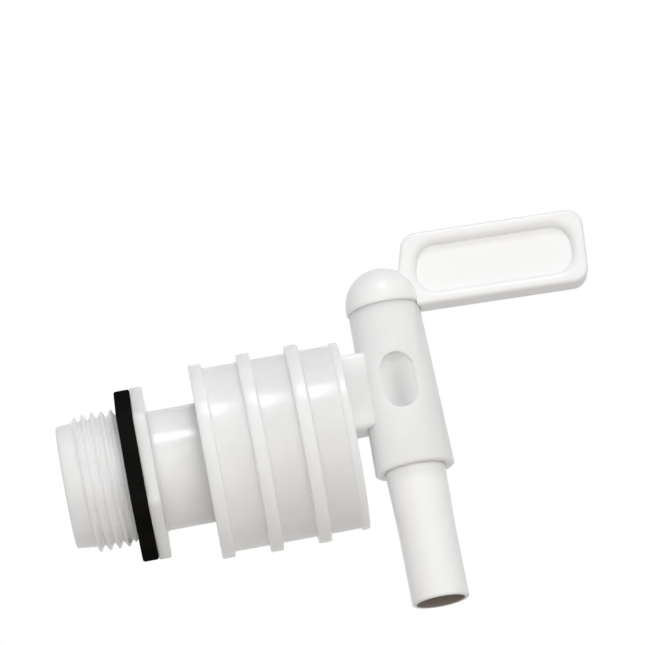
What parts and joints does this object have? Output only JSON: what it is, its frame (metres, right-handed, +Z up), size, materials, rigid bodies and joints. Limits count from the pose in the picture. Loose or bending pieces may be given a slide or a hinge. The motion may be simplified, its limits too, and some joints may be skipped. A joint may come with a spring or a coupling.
{
  "type": "jerrycan tap",
  "caption": "Threaded container tap with a hexagon flange, a ribbed collar, an upright barrel, a flag handle on a domed cap and a straight spout that points down.",
  "frame": {"origin": "on the thread's axis, in the plane of the washer face that seals on the container", "axes": "+X along the thread's axis from the container to the handle's tip, +Z up along the barrel, +Y to the back"},
  "size_m": [0.1073, 0.0384, 0.072],
  "materials": {
    "natural_plastic": "natural, slightly translucent polyethylene with a soft gloss",
    "white_plastic": "white, opaque polyethylene with a soft gloss",
    "black_rubber": "matte black rubber"
  },
  "bodies": {
    "spigot_fixed": {"spigot": "natural_plastic", "flange_washer": "black_rubber", "neck_seal_ring": "black_rubber"},
    "tap_turning": {"tap_body": "natural_plastic"},
    "key": {"plug_spout": "white_plastic", "handle": "white_plastic"}
  },
  "joints": [
    {"name": "tap_swivel", "type": "hinge", "parent": "spigot_fixed", "child": "tap_turning", "pos_m": [0.03, 0, 0], "axis": [1, 0, 0], "continuous": true},
    {"name": "key_turn", "type": "hinge", "parent": "tap_turning", "child": "key", "pos_m": [0.0543, 0, 0], "axis": [0, 0, 1], "continuous": true}
  ]
}
